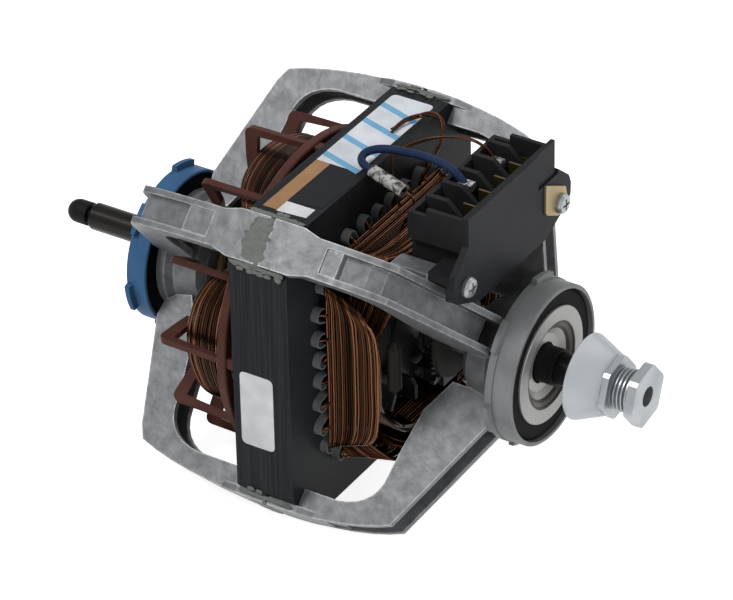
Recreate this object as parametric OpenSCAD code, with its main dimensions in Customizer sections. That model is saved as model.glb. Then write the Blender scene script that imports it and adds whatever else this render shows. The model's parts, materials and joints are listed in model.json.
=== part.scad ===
// Open-frame dryer motor on resilient rings. The shaft runs along X with the pulley at +X,
// Z is up, and the part stands on its lower legs. Motor coordinates have their origin on the
// shaft axis at the middle of the stack; frame_shift moves them to the base.

/* [Lamination stack] */
// Side of the square stack
stack_side = 131.6; // [128:0.1:140]
// Length of the stack along the shaft
stack_len = 25.2; // [22:0.1:28]
// Distance from the axis to each cut corner
stack_corner = 81.9; // [80:0.1:85]
// Diameter of the stator bore
bore_d = 82; // [81:0.1:83]
// Number of slots
slot_count = 32; // [32:4:36]
// Slot width at the bottom
slot_w = 6.2; // [5.4:0.1:6.6]
// Slot bottom radius at the middle of a side
slot_flat_r = 50; // [49:0.1:52]
// Slot bottom radius towards a corner
slot_corner_r = 60; // [58.5:0.1:62]
// How far the slot cuffs stand out of the stack
cuff_len = 3.2; // [2:0.1:4]
// Thickness of the slot cuffs
cuff_t = 0.5; // [0.3:0.05:0.6]

/* [Rotor and shaft] */
// Running gap between rotor and stator
air_gap = 0.5; // [0.3:0.05:1]
// Shaft diameter through the bearings and the pulley
shaft_d = 12.7; // [12:0.1:13.5]
// Shaft diameter at the blower end
blower_shaft_d = 11.11; // [9.5:0.01:11.8]
// Distance from the middle of the stack to the shaft's blower end
shaft_back = 121; // [115:0.5:130]
// Diameter of the stub under the thread cap
stub_d = 6.4; // [5:0.1:8]
// Diameter of the thread cap
thread_cap_d = 9.6; // [8.5:0.1:10.5]
// Length of the thread cap
thread_cap_len = 10; // [9:0.1:14]
// Radial running clearance of the sleeve bearings
running_gap = 0.03; // [0.02:0.01:0.08]
// Length of the cast fan blades
blade_len = 8; // [5:0.5:9]
// Number of fan blades at each end
blade_count = 12; // [8:1:16]

/* [End shields] */
// Thickness of the shield feet over the cut corners
foot_t = 3.4; // [2.8:0.1:4.5]
// Half the gap between the feet of the two shields
foot_gap = 1; // [0.6:0.1:2.5]
// Width of a leg
leg_w = 15; // [13:0.1:17]
// Thickness of a leg's side ribs
rib_t = 2.6; // [2:0.1:3.5]
// Depth of a leg at the stack
leg_depth = 10.5; // [9:0.5:12]
// Radius at which the arms meet the mounting ring's side
hub_r = 30.2; // [28:0.1:30.9]
// Radius of the boss that carries a mounting ring
boss_r = 19.5; // [18.5:0.1:20.5]
// Distance from the middle of the stack to the pulley shield's hub face
pulley_reach = 75.8; // [74:0.1:80]
// Distance from the middle of the stack to the blower shield's hub face
blower_reach = 75.4; // [74:0.1:80]
// Where the pulley shield's legs turn inward
pulley_crown = 51.5; // [50:0.1:55]
// Where the blower shield's legs turn inward
blower_crown = 60; // [56:0.1:62]

/* [Mounting rings] */
// Outer diameter of the pulley-end mounting ring
ring_d = 63.5; // [62.5:0.1:66]
// How much smaller the blower-end ring is in diameter
ring_step = 1.2; // [0.8:0.1:1.6]
// Wall of a ring's metal shell
ring_wall = 1.7; // [1.5:0.1:2.2]
// Width of the pulley-end ring
pulley_ring_w = 11.2; // [9:0.1:12.5]
// Width of the blower-end ring
blower_ring_w = 8.9; // [8:0.1:12]
// Height of the keying lugs on a shell
lug_h = 2.4; // [1:0.1:3]
// Number of keying lugs on a shell
lug_count = 6; // [3:1:8]

/* [Bearings] */
// Bearing outer diameter
bearing_d = 25; // [23:0.1:26]
// Radius of a bearing cap
cap_r = 23.4; // [21.5:0.1:25]
// Sheet thickness of a bearing cap
cap_t = 0.9; // [0.6:0.1:1.2]
// Hole radius of a bearing cap
cap_hole_r = 8.2; // [8:0.1:9.5]

/* [Pulley] */
// Groove pitch of the pulley
groove_pitch = 1.6; // [1.4:0.01:1.7]
// Number of grooves
groove_count = 5; // [3:1:6]
// Outer diameter over the grooves
groove_d = 17.2; // [16.6:0.1:19]
// Groove depth
groove_depth = 1.2; // [0.8:0.05:1.4]
// Distance across flats of the hexagonal flanges
hex_af = 22.2; // [20:0.1:24]
// Thickness of the outer flange
flange_t = 3.7; // [2.5:0.1:5]
// Thickness of the inner flange
inner_flange_t = 2.8; // [2:0.1:4]
// Start of the belt guard, from the middle of the stack
guard_x = 100.5; // [99.8:0.1:104]
// Length of the belt guard
guard_len = 12.6; // [10:0.1:14]
// Large radius of the belt guard
guard_r = 17; // [15:0.1:19]
// Small radius of the belt guard
guard_small_r = 12.2; // [11.4:0.1:13]
// Wall of the belt guard
guard_wall = 1.6; // [1.2:0.1:2.2]
// Radius of the tool hole in the pulley's end
tool_hole_r = 4; // [3:0.1:5]

/* [Winding insulator] */
// Gap between the slot bottoms and the insulator ring
insulator_gap = 0.3; // [0.2:0.1:0.8]
// Radial thickness of the insulator ring
insulator_t = 4.2; // [3:0.1:4.6]
// How far the insulator frames reach from the middle of the stack
frame_reach = 48.5; // [47.5:0.1:52]
// Number of frames
frame_count = 12; // [8:1:12]
// Thickness of a frame
frame_t = 2.4; // [1.6:0.1:3]

/* [Windings] */
// Turns in the outer layer of each coil group
turn_count = 5; // [4:1:5]
// Diameter of an outer-layer turn
wire_d = 2; // [1.6:0.1:2]
// Height of the end turns on the pulley side
pulley_turns_h = 26.6; // [24:0.1:27]
// Height of the end turns on the blower side
blower_turns_h = 27; // [24:0.1:30]

/* [Start switch] */
// How far the switch cover's front stands behind the pulley shield's hub face
switch_setback = 5.8; // [5:0.1:6.5]
// Half the width of the switch cover
switch_half_w = 32; // [31.5:0.1:33]
// Height of the switch cover above the shaft axis
switch_top = 76.3; // [75.5:0.1:79]
// Thickness of the switch cover
switch_cover_t = 2.5; // [2:0.1:3]
// Depth of the switch housing behind its cover
switch_depth = 24; // [23.5:0.1:25]
// Half the distance between the switch screws
screw_y = 33.4; // [33:0.1:34.5]
// Height of the switch screws above the shaft axis
screw_z = 48.4; // [48:0.1:49.5]
// Radius of the screw shanks
screw_r = 1.7; // [1.4:0.1:2]
// Travel of the actuator spool
spool_travel = 2.5; // [1.5:0.1:2.5]
// Radius of the spool's disc
spool_r = 17; // [15:0.1:17.5]
// Bearing length
bearing_len = 17; // [14:0.5:18]

/* [Leads] */
// Diameter of the blue lead
blue_d = 3.2; // [2.6:0.1:3.4]
// Diameter of the brown lead
brown_d = 2.4; // [2:0.1:2.6]
// Diameter of a copper lead
copper_d = 1.4; // [1:0.1:1.6]

/* [Hidden] */

fine = 96;
seat = 0.05;
clear = 0.3;
corner_angles = [45, 135, 225, 315];

stack_half = stack_len / 2;
shaft_r = shaft_d / 2;
leg_out = stack_corner + seat + foot_t;
leg_in = leg_out - leg_depth;
boss_len = 10;
cap_dish = 3.8;
hub_start = 18;
pulley_boss_x = pulley_reach + boss_len;
blower_boss_x = blower_reach + boss_len;
bearing_seat_r = bearing_d / 2 + seat / 2;
ring_r = ring_d / 2;
ring_in_r = ring_r - ring_wall;
blower_ring_r = ring_r - ring_step / 2;
insulator_r = slot_corner_r + insulator_gap + insulator_t;
switch_x = pulley_reach - switch_setback;
stack_top = stack_side / 2;

grooves_x = guard_x + guard_len + inner_flange_t;
flange_x = grooves_x + groove_count * groove_pitch;
pulley_end = flange_x + flange_t;
cap_gap = 0.8;
cap_x = shaft_back + cap_gap + 0.9;
blower_end = cap_x + thread_cap_len;
cut_half = stack_side / sqrt(2) - stack_corner;
foot_half = cut_half - 1.75;
axis_height = (leg_out + foot_half) * cos(45);
frame_shift = [(blower_end - pulley_end) / 2, 0, axis_height];

// Points on a quadratic curve from a to c, drawn towards b
function bend(a, b, c, n = 6) =
    [for (i = [0:n]) let (t = i / n) a * (1 - t) ^ 2 + b * 2 * t * (1 - t) + c * t ^ 2];

function unit(v) = v / norm(v);
function last(list) = list[len(list) - 1];

// Places a shape made in motor coordinates into the part's frame
module placed() translate(frame_shift) children();

// Turns a profile of [radius, x] points about the shaft
module spin(points, facets = fine) rotate([0, 90, 0]) rotate_extrude($fn = facets) polygon(points);

// The same over an arc, with angles measured from +Y towards +Z
module spin_arc(points, from, to)
    rotate([0, 90, 0]) rotate([0, 0, from + 90]) rotate_extrude(angle = to - from, $fn = fine)
        polygon(points);

// Turns what stands along +Z to point at an angle measured from +Y towards +Z
module at_angle(a) rotate([a - 90, 0, 0]) children();

// A plate drawn with [x, radius] points, standing along +Z, of thickness t across
module radial_plate(points, t, across = 0)
    translate([0, across, 0]) rotate([90, 0, 0]) linear_extrude(t, center = true) polygon(points);

module rod_x(r, from, to, facets = 48) translate([from, 0, 0]) rotate([0, 90, 0])
    cylinder(r = r, h = to - from, $fn = facets);

module rod_y(r, length, facets = 32) rotate([90, 0, 0]) cylinder(r = r, h = length, center = true,
    $fn = facets);

module block(x, y, z) translate([x[0], y[0], z[0]]) cube([x[1] - x[0], y[1] - y[0], z[1] - z[0]]);

// Radius of the slot bottom at an angle: deepest towards the stack's corners
function slot_bottom(a) = slot_flat_r + (slot_corner_r - slot_flat_r) * pow(sin(2 * a), 2);
slot_angles = [for (i = [0:slot_count - 1]) (i + 0.5) * 360 / slot_count];
slot_mouth = 2.4;
slot_neck_r = bore_d / 2 + 1.3;
slot_top_w = slot_w * 0.72;

// Outline of one slot along +X of the drawing, grown inward by g
module slot_outline(a, g = 0, open = true) {
    bottom = slot_bottom(a) - slot_w / 2;
    w = slot_w / 2 - g;
    top_w = slot_top_w / 2 - g;
    rotate(a) union() {
        translate([bottom, 0]) circle(r = w, $fn = 32);
        polygon([[slot_neck_r + g, -top_w], [bottom, -w], [bottom, w], [slot_neck_r + g, top_w]]);
        if (open)
            translate([bore_d / 2 - 1, -slot_mouth / 2]) square([3, slot_mouth]);
    }
}

// Lamination outline: a square with cut corners and a slotted bore
module lamination() difference() {
    intersection() {
        square(stack_side, center = true);
        rotate(45) square(2 * stack_corner, center = true);
    }
    circle(d = bore_d, $fn = fine);
    for (a = slot_angles)
        slot_outline(a);
}

// A drawing in the plane across the shaft, with +X of the drawing along +Y of the part
module across_shaft(from, to) translate([from, 0, 0]) rotate([90, 0, 90])
    linear_extrude(to - from) children();

module stator_core() color("#4a4d50") placed()
    across_shaft(-stack_half, stack_half) lamination();

module slot_liners() color("#c9cbcc") placed() {
    out = stack_half + cuff_len;
    for (a = slot_angles)
        across_shaft(-out, out) difference() {
            slot_outline(a, seat, false);
            slot_outline(a, seat + cuff_t, false);
            rotate(a) translate([slot_neck_r - 2, -slot_w]) square([3.2, 2 * slot_w]);
        }
}

// Sweep of a round tube along points
function tangents(p) = [for (i = [0:len(p) - 1]) unit(p[min(i + 1, len(p) - 1)] - p[max(i - 1, 0)])];
function square_to(n, t) = unit(n - t * (n * t));
function normals(t, n0) = [for (i = 0, n = square_to(n0, t[0]); i < len(t);
    i = i + 1, n = i < len(t) ? square_to(n, t[i]) : n) n];

module tube(p, d, sides = 8, n0 = [0.31, 0.52, 0.8]) {
    t = tangents(p);
    n = normals(t, n0);
    rings = [for (i = [0:len(p) - 1]) for (j = [0:sides - 1])
        p[i] + d / 2 * (n[i] * cos(360 * j / sides) + cross(t[i], n[i]) * sin(360 * j / sides))];
    walls = [for (i = [0:len(p) - 2]) for (j = [0:sides - 1])
        let (a = i * sides + j, b = i * sides + (j + 1) % sides)
            each [[a, b + sides, b], [a, a + sides, b + sides]]];
    ends = [for (j = [1:sides - 2]) each [[0, j, j + 1],
        [(len(p) - 1) * sides, (len(p) - 1) * sides + j + 1, (len(p) - 1) * sides + j]]];
    polyhedron(rings, concat(walls, ends), convexity = 6);
}

// Smooth curve through hand-placed points, k steps between two points
function curve_point(a, b, c, d, t) = 0.5 * (2 * b + (c - a) * t + (2 * a - 5 * b + 4 * c - d) * t ^ 2
    + (3 * b - a - 3 * c + d) * t ^ 3);
function curve(p, k) = [for (i = [0:len(p) - 2]) for (s = [0:k - 1])
    curve_point(p[max(i - 1, 0)], p[i], p[i + 1], p[min(i + 2, len(p) - 1)], s / k),
    last(p)];

// Coil groups. Points are [x, out, side]: out is the distance from the axis along the group's
// middle, side is the distance across it.
turn_slot = 3.5 * 360 / slot_count;
turn_gap = 0.6;
turn_pitch = wire_d + turn_gap;
turn_r0 = bore_d / 2 + 4;
turn_face = bore_d / 2 + 4.6;
turn_arc_r = slot_corner_r - 3.6;

function turn_r(i) = turn_r0 + turn_pitch * i;
function slot_point(x, r, s) = [x, r * cos(turn_slot), s * r * sin(turn_slot)];

// Height of turn i over the stack's face: the inner turns rise highest
function turn_rise(i, low, high) = high - (high - low) * i / (turn_count - 1);

// End turns on the pulley side run straight across; those on the blower side follow an arc
function pulley_turn(i) = let (r = turn_r(i), rise = turn_rise(i, cuff_len + 2.6, pulley_turns_h - wire_d / 2),
    h = stack_half + rise, leave = stack_half + max(cuff_len + wire_d / 2 + 0.3, rise * 0.62),
    wide = turn_face * 0.62, near = turn_face * 0.33)
    [slot_point(stack_half + 0.6, r, 1), slot_point(leave, r + 0.4, 1),
        [h - 0.4, turn_face - 1.2, wide], [h, turn_face, near], [h, turn_face + 0.3, 0],
        [h, turn_face, -near], [h - 0.4, turn_face - 1.2, -wide],
        slot_point(leave, r + 0.4, -1), slot_point(stack_half + 0.6, r, -1)];

function arc_point(x, a) = [x, turn_arc_r * cos(a), turn_arc_r * sin(a)];
function blower_turn(i) = let (r = turn_r(i), r2 = turn_r(i + 1),
    h = stack_half + turn_rise(i, 8.6, blower_turns_h - wire_d / 2))
    [slot_point(-stack_half - 0.6, r, -1), slot_point(-stack_half - (h - stack_half) * 0.55, r + 0.4, -1),
        slot_point(-h + 1.2, (r + turn_arc_r) / 2 + 1.5, -0.93), arc_point(-h, -28), arc_point(-h, -14),
        arc_point(-h, 0), arc_point(-h, 14), arc_point(-h, 28),
        slot_point(-h + 1.2, (r + turn_arc_r) / 2 + 1.5, 0.93),
        slot_point(-stack_half - (h - stack_half) * 0.55, r + 0.4, 1)];

function coil_turns() = concat([for (i = [0:turn_count - 1])
    each concat(pulley_turn(i), i < turn_count - 1 ? blower_turn(i) : [slot_point(-stack_half - 3, turn_r(i), -1)])]);

// Least distance between the middles of turns that are not neighbours along the tube
function segment_gap(p, a, b) = let (ab = b - a, t = max(0, min(1, (p - a) * ab / (ab * ab)))) norm(p - a - ab * t);
coil_path = coil_turns();
coil_gap = min([for (i = [0:len(coil_path) - 1]) for (j = [i + 5:len(coil_path) - 2])
    segment_gap(coil_path[i], coil_path[j], coil_path[j + 1])]) - wire_d;
echo(coil_least_gap = coil_gap);

module coil_group(a) placed() rotate([a, 0, 0]) {
    // In this frame +Y points to the middle of the group
    tube(coil_path, wire_d, 6);
    coil_core();
}

core_slot_near = 1.5 * 360 / slot_count;
core_slot_far = 2.5 * 360 / slot_count;
core_in = bore_d / 2 + 0.9;
core_out = turn_face - wire_d / 2 - clear;
core_half = turn_face * 0.504;
core_arc_in = bore_d / 2 + 3;
core_arc_out = turn_arc_r - wire_d / 2 - clear;

// The plain bundle under the outer turns, with its legs in the slots
module coil_core() {
    top = stack_half + pulley_turns_h;
    bottom = -stack_half - blower_turns_h;
    leg_top = stack_half + cuff_len + 2;
    leg_bottom = -leg_top;
    for (s = [-1, 1]) {
        core_leg(s * core_slot_near, core_arc_in - 0.6, core_arc_in + 2, leg_bottom, leg_top);
        core_leg(s * core_slot_far, core_arc_in - 0.6, core_arc_in + 3.6, leg_bottom, leg_top);
    }
    translate([leg_top - 1.6, core_in, -core_half])
        bundle(top - leg_top + 1.6, core_out - core_in, 2 * core_half);
    spin_arc([[core_arc_in, leg_bottom + 1.6], [core_arc_in, bottom + 2], [core_arc_in + 2, bottom],
        [core_arc_out - 2, bottom], [core_arc_out, bottom + 2], [core_arc_out, leg_bottom + 1.6]], -29, 29);
}

// A slot's filling, from radius r1 to r2
module core_leg(a, r1, r2, from, to) rotate([a, 0, 0])
    block([from, to], [r1, r2], [1.6 - slot_w / 2, slot_w / 2 - 1.6]);

// A straight bundle with rounded ends, x by y by z
module bundle(x, y, z) union() {
    block([0, x - 4], [0, y], [0, z]);
    block([0, x], [0, y], [4, z - 4]);
    for (s = [4, z - 4])
        translate([x - 4, 0, s]) rotate([-90, 0, 0]) cylinder(r = 4, h = y, $fn = 32);
}

module winding_front() color("#8a4a2a") coil_group(180);
module winding_rear() color("#8a4a2a") coil_group(0);
module winding_top() color("#8a4a2a") coil_group(90);
module winding_bottom() color("#8a4a2a") coil_group(-90);

start_in = bore_d / 2 - 2.7;
start_out = bore_d / 2 + 0.4;

// Start coils lie inside the running coils, each centred on a corner of the stack
module start_winding() color("#7a3f24") placed() for (a = corner_angles) {
    for (e = [0, 1]) mirror([e, 0, 0])
        spin_arc([[start_in, rotor_half + clear], [start_out, rotor_half + clear],
            [start_out, stack_half + pulley_turns_h - 2], [start_out - 1, stack_half + pulley_turns_h - 1],
            [start_in, stack_half + pulley_turns_h - 1]], a - 37, a + 37);
}

module winding_insulator() color("#6e3b33") placed() {
    ring_back = stack_half + 4.4;
    ring_front = ring_back + 4;
    ring_in = insulator_r - insulator_t;
    mirror([1, 0, 0]) {
        spin([[ring_in, ring_back], [insulator_r - 0.5, ring_back], [insulator_r, ring_back + 0.5],
            [insulator_r, ring_front - 0.5], [insulator_r - 0.5, ring_front], [ring_in, ring_front]]);
        for (i = [0:frame_count - 1]) at_angle(28 + i * 360 / frame_count) {
            radial_plate(concat([[ring_back + 1, insulator_r - 1.2], [ring_back + 1, ring_in + 0.9],
                [ring_front - 1, ring_in + 0.9], [frame_reach - 5.4, ring_in - 0.7], [frame_reach - 5.2, ring_in - 10.3],
                [frame_reach - 4, ring_in - 15.8], [frame_reach - 1, ring_in - 15.8],
                [frame_reach - 0.4, ring_in - 10.3]],
                bend([frame_reach, insulator_r - 5], [frame_reach, insulator_r - 1.7],
                    [frame_reach - 3.4, insulator_r - 1.6])), frame_t);
            radial_plate([[stack_half + seat, insulator_r - 1], [ring_back + 0.6, insulator_r - 1],
                [ring_back + 0.6, ring_in + 1.1], [stack_half + seat, ring_in + 1.1]], 4.4);
        }
    }
}

module corner_bonds() color("#a7aaa3") placed() for (a = corner_angles) at_angle(a) {
    block([-foot_gap + seat, foot_gap - seat], [-foot_half, foot_half],
        [stack_corner + seat, leg_out - 0.5]);
    for (s = [-1, 1]) bead(s);
}

// Adhesive bead along the edge of the feet
module bead(s) {
    edge = max(cut_half, foot_half);
    rotate([90, 0, 90]) translate([0, 0, -8]) linear_extrude(16)
        polygon([[s * (foot_half + seat), stack_corner + seat], [s * (edge + seat), stack_corner + seat],
            [s * (edge + 3.4), stack_corner - 3.2], [s * (edge + 3.9), stack_corner - 2.5],
            [s * (edge + 0.8), stack_corner + 0.6], [s * (foot_half + seat), leg_out - 1]]);
}

// Outline of a leg's side rib as [x, distance from the axis], drawn for an end at +X
function rib_outline(reach, crown, in_x) = concat(
    [[stack_half + clear, leg_out - foot_t], [stack_half + clear, leg_in]],
    bend([in_x - 16, leg_in], [in_x - 2.7, leg_in - 1.3], [in_x, leg_in - 12]),
    [[in_x + 1.4, leg_in - 25.4], [in_x + 4.2, boss_r + 12.5], [in_x + 11.3, boss_r - 1],
        [reach - 3, boss_r - 1], [reach - 1.2, hub_r - 0.4], [crown + 2.8, leg_out - 13.6]],
    bend([crown, leg_out - 8], [crown * 0.68, leg_out - 1], [foot_gap + 4, leg_out], 6),
    [[foot_gap, leg_out], [foot_gap, leg_out - foot_t]]);

// Web of the channel between the ribs, set back by depth d
function web_outline(reach, crown, d, t) = [
    [stack_half + 2, leg_out - 1], [crown * 0.6, leg_out - 3], [crown * 0.6 + 0.8, leg_out - 5.4],
    [crown * 0.8, leg_out - 7.4],
    [crown - d * 0.8, leg_out - 8 - d * 0.5], [reach - 2 - d, hub_r - 2],
    [reach - 4 - d - t, hub_r - 4], [crown - (d + t), leg_out - 9 - (d + t) * 0.6],
    [crown * 0.75 - t * 0.4, leg_out - 7.4 - t], [crown * 0.5, leg_out - 4 - t], [stack_half + 2, leg_out - 1 - t]];

module shield_leg(reach, crown, in_x, pocket) {
    for (s = [-1, 1])
        radial_plate(rib_outline(reach, crown, in_x), rib_t, s * (leg_w - rib_t) / 2);
    radial_plate(web_outline(reach, crown, pocket, 3), leg_w - rib_t);
    // Foot over the cut corner, narrowing into the leg
    intersection() {
        translate([0, 0, leg_out - foot_t]) linear_extrude(foot_t)
            polygon([[foot_gap, -foot_half], [stack_half + 1, -foot_half], [stack_half + 8, -leg_w / 2],
                [stack_half + 12, -leg_w / 2], [stack_half + 12, leg_w / 2],
                [stack_half + 8, leg_w / 2], [stack_half + 1, foot_half], [foot_gap, foot_half]]);
        radial_plate(rib_outline(reach, crown, in_x), 2 * foot_half + leg_w);
    }
}

// Hub with the bearing housing and the boss that carries the mounting ring
module shield_hub(reach) difference() {
    spin([[0, reach - hub_start], [boss_r - 3, reach - hub_start], [boss_r, reach - hub_start + 3],
        [boss_r + 2, reach - 6], [boss_r + 4.5, reach - 3.4], [boss_r + 4.5, reach], [boss_r, reach],
        [boss_r, reach + boss_len], [0, reach + boss_len]]);
    rod_x(bearing_seat_r, reach - hub_start + 2, reach + boss_len + 1, fine);
    rod_x(shaft_r + 3, reach - hub_start - 1, reach, fine);
    spin([[0, reach + boss_len - cap_dish - 0.4], [bearing_seat_r, reach + boss_len - cap_dish - 0.4],
        [boss_r - 1.6, reach + boss_len], [boss_r - 1.6, reach + boss_len + 1],
        [0, reach + boss_len + 1]]);
}

module shield(reach, crown, pocket) {
    difference() {
        for (a = corner_angles) at_angle(a) shield_leg(reach, crown, crown - 8.3, pocket);
        rod_x(boss_r - 2, 0, reach + 1, fine);
    }
    shield_hub(reach);
}

module blower_shield() color("#b4b6b8") placed() mirror([1, 0, 0])
    shield(blower_reach, blower_crown, 3);

module pulley_shield() color("#b4b6b8") placed() {
    difference() {
        union() {
            shield(pulley_reach, pulley_crown, 6);
            for (s = [-1, 1]) translate([0, s * screw_y, screw_z]) switch_post(s);
        }
        for (s = [-1, 1]) translate([0, s * screw_y, screw_z])
            rod_x(screw_r, switch_x - switch_cover_t - 26, switch_x, 32);
    }
}

post_r = 4.6;
ear_depth = 10;
post_end = switch_x - switch_cover_t - ear_depth - seat;

// Post beside a leg that takes a switch screw
module switch_post(s) hull() {
    rod_x(post_r, pulley_crown - 10, post_end, 32);
    translate([pulley_crown - 10, s * 6 - 1, 2]) cube([post_end - pulley_crown + 10, 2, 3]);
}

// Metal shell of a mounting ring, with keying lugs along one edge
module ring_shell(r, x, w, outer, rim) {
    function at(t) = outer ? x + w - t : x + t;
    spin(concat([[ring_in_r, at(0)], [r + rim - 0.4, at(0)], [r + rim, at(0.4)]],
        rim > 0 ? [[r + rim, at(3.2)], [r, at(3.2)]] : [],
        [[r, at(w - 0.4)], [r - 0.4, at(w)], [ring_in_r, at(w)]]));
    for (i = [0:lug_count - 1])
        spin_arc([[r - 0.6, at(0.1)], [r + lug_h, at(0.6)], [r + lug_h, at(2.6)], [r - 0.6, at(3.1)]],
            i * 360 / lug_count + 4, i * 360 / lug_count + 26);
}

module ring_rubber(x, w) spin([[boss_r + seat, x + 1.2], [boss_r + 3, x + 0.8], [ring_in_r - 2.4, x + 0.8],
    [ring_in_r - seat, x + 1.4], [ring_in_r - seat, x + w - 1.4], [ring_in_r - 1.6, x + w - 0.8],
    [boss_r + seat, x + w - 0.8]]);

module blower_ring_shell() color("#6fa5d8") placed() mirror([1, 0, 0])
    ring_shell(blower_ring_r, blower_reach + 0.3, blower_ring_w, true, 0);
module pulley_ring_shell() color("#8f9193") placed() 
    ring_shell(ring_r, pulley_reach + 0.3, pulley_ring_w, false, 0.5);
module blower_ring_rubber() color("#26282a") placed() mirror([1, 0, 0])
    ring_rubber(blower_reach + 0.3, blower_ring_w);
module pulley_ring_rubber() color("#26282a") placed()
    ring_rubber(pulley_reach + 0.3, boss_len - 0.3 + 0.8);

// Plain sleeve bearing with rounded ends
module bearing(reach) spin([[shaft_r + running_gap, reach - hub_start + 2 + seat],
    [bearing_d / 2 - 1, reach - hub_start + 2 + seat], [bearing_d / 2, reach - hub_start + 3 + seat],
    [bearing_d / 2, reach - hub_start + bearing_len + 1], [bearing_d / 2 - 1, reach - hub_start + bearing_len + 2],
    [shaft_r + running_gap, reach - hub_start + bearing_len + 2]]);

module oil_felt(reach) spin([[shaft_r + 0.6, reach - hub_start + bearing_len + 2 + seat],
    [bearing_d / 2, reach - hub_start + bearing_len + 2 + seat],
    [bearing_d / 2, reach + boss_len - cap_dish - 1], [shaft_r + 1.2, reach + boss_len - cap_dish - 1]]);

// Dished plate that closes the bearing housing
module bearing_cap(reach) {
    x = reach + boss_len + seat;
    floor_r = bearing_seat_r - 0.6;
    spin([[cap_hole_r, x - cap_dish], [floor_r, x - cap_dish], [boss_r - 2, x], [cap_r, x],
        [cap_r, x + cap_t - 0.2], [cap_r - 0.2, x + cap_t], [boss_r - 2.4, x + cap_t],
        [floor_r - 0.4, x - cap_dish + cap_t], [cap_hole_r, x - cap_dish + cap_t]]);
}

module blower_bearing() color("#a8814e") placed() mirror([1, 0, 0]) bearing(blower_reach);
module pulley_bearing() color("#a8814e") placed() bearing(pulley_reach);
module blower_oil_felt() color("#d8d2bf") placed() mirror([1, 0, 0]) oil_felt(blower_reach);
module pulley_oil_felt() color("#d8d2bf") placed() oil_felt(pulley_reach);
module blower_bearing_cap() color("#c2c3bf") placed() mirror([1, 0, 0]) bearing_cap(blower_reach);
module pulley_bearing_cap() color("#c2c3bf") placed() bearing_cap(pulley_reach);

// Rotor
rotor_r = bore_d / 2 - air_gap;
rotor_half = stack_half + 0.4;
end_ring_x = rotor_half + 6;
blade_r = 37;

module rotor_core() color("#5b5e61") placed()
    spin([[shaft_r + seat / 2, -rotor_half], [rotor_r, -rotor_half], [rotor_r, rotor_half],
        [shaft_r + seat / 2, rotor_half]]);

module rotor_cage() color("#9ea1a3") placed() for (e = [0, 1]) mirror([e, 0, 0]) {
    spin([[25, rotor_half], [blade_r, rotor_half], [blade_r, end_ring_x - 1], [blade_r - 1, end_ring_x],
        [26, end_ring_x], [25, end_ring_x - 1]]);
    for (i = [0:blade_count - 1]) at_angle(i * 360 / blade_count)
        radial_plate([[end_ring_x - 1, 27], [end_ring_x + blade_len - 2, 27], [end_ring_x + blade_len, 30],
            [end_ring_x + blade_len, blade_r - 1], [end_ring_x - 1, blade_r - 0.5]], 1.8);
}

shaft_end = grooves_x + 3;

module shaft() color("#c6c8ca") placed() spin([[0, -shaft_back - cap_gap - 6.5], [stub_d / 2, -shaft_back - cap_gap - 6.5],
    [stub_d / 2, -shaft_back], [blower_shaft_d / 2 - 0.8, -shaft_back], [blower_shaft_d / 2, -shaft_back + 1],
    [blower_shaft_d / 2, -blower_boss_x - 1.6], [shaft_r, -blower_boss_x - 1.2], [shaft_r, shaft_end - 0.6],
    [shaft_r - 0.6, shaft_end], [0, shaft_end]]);

module thread_cap() color("#1d1e20") placed() mirror([1, 0, 0]) {
    r = thread_cap_d / 2;
    spin(concat([[stub_d / 2 + seat, cap_x], [r, cap_x], [r, cap_x + thread_cap_len - r]],
        [for (i = [1:5]) [r * cos(i * 16), cap_x + thread_cap_len - r + r * sin(i * 16)]],
        [[0, cap_x + thread_cap_len], [0, shaft_back + cap_gap + 7], [stub_d / 2 + seat, shaft_back + cap_gap + 7]]));
}

washer_t = 0.9;
module thrust_washers() color("#c9b98a") placed() {
    for (i = [0:1]) washer(pulley_reach - hub_start - 0.4 - (i + 1) * (washer_t + seat));
    mirror([1, 0, 0]) for (i = [0:1]) washer(blower_reach - hub_start - 0.4 - (i + 1) * (washer_t + seat));
}
module washer(x) spin([[shaft_r + seat / 2, x], [9.5, x], [9.5, x + washer_t], [shaft_r + seat / 2, x + washer_t]]);

// Centrifugal actuator
plate_x = end_ring_x + blade_len + 1;
plate_t = 1.6;
pivot_x = plate_x + plate_t + 3.4;
pivot_z = 16;
pin_r = 1;
collar_x = pivot_x + 1.25 + clear + 0.1;
spool_back = collar_x;
disc_x = collar_x + 7.1 + spool_travel;
disc_t = 2.2;
sleeve_r = 8.4;
ear_y = 8.4;

module actuator_plate() color("#8d8f91") placed() {
    difference() {
        rod_x(20, plate_x, plate_x + plate_t, 64);
        rod_x(shaft_r + seat / 2, plate_x - 1, plate_x + plate_t + 1, fine);
    }
    spin([[shaft_r + seat / 2, plate_x - 3], [9, plate_x - 3], [9, plate_x + 0.2], [shaft_r + seat / 2, plate_x + 0.2]]);
    for (z = [-1, 1]) for (y = [-1, 1]) difference() {
        block([plate_x + plate_t - 0.2, pivot_x + 2.2], [y * ear_y - 0.6, y * ear_y + 0.6],
            z > 0 ? [pivot_z - 2.4, pivot_z + 2.4] : [-pivot_z - 2.4, -pivot_z + 2.4]);
        translate([pivot_x, y * ear_y, z * pivot_z]) rod_y(pin_r + seat / 2, 3);
    }
}

module weight_pins() color("#c2c4c6") placed() for (z = [-1, 1])
    translate([pivot_x, 0, z * pivot_z]) rod_y(pin_r, 2 * ear_y + 2.6);

spring_x = pivot_x + 8.6;
spring_y = 11;
spring_r = 1.5;
spring_wire = 0.6;
spring_turns = 12;
lug_z = 15.5;

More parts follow.
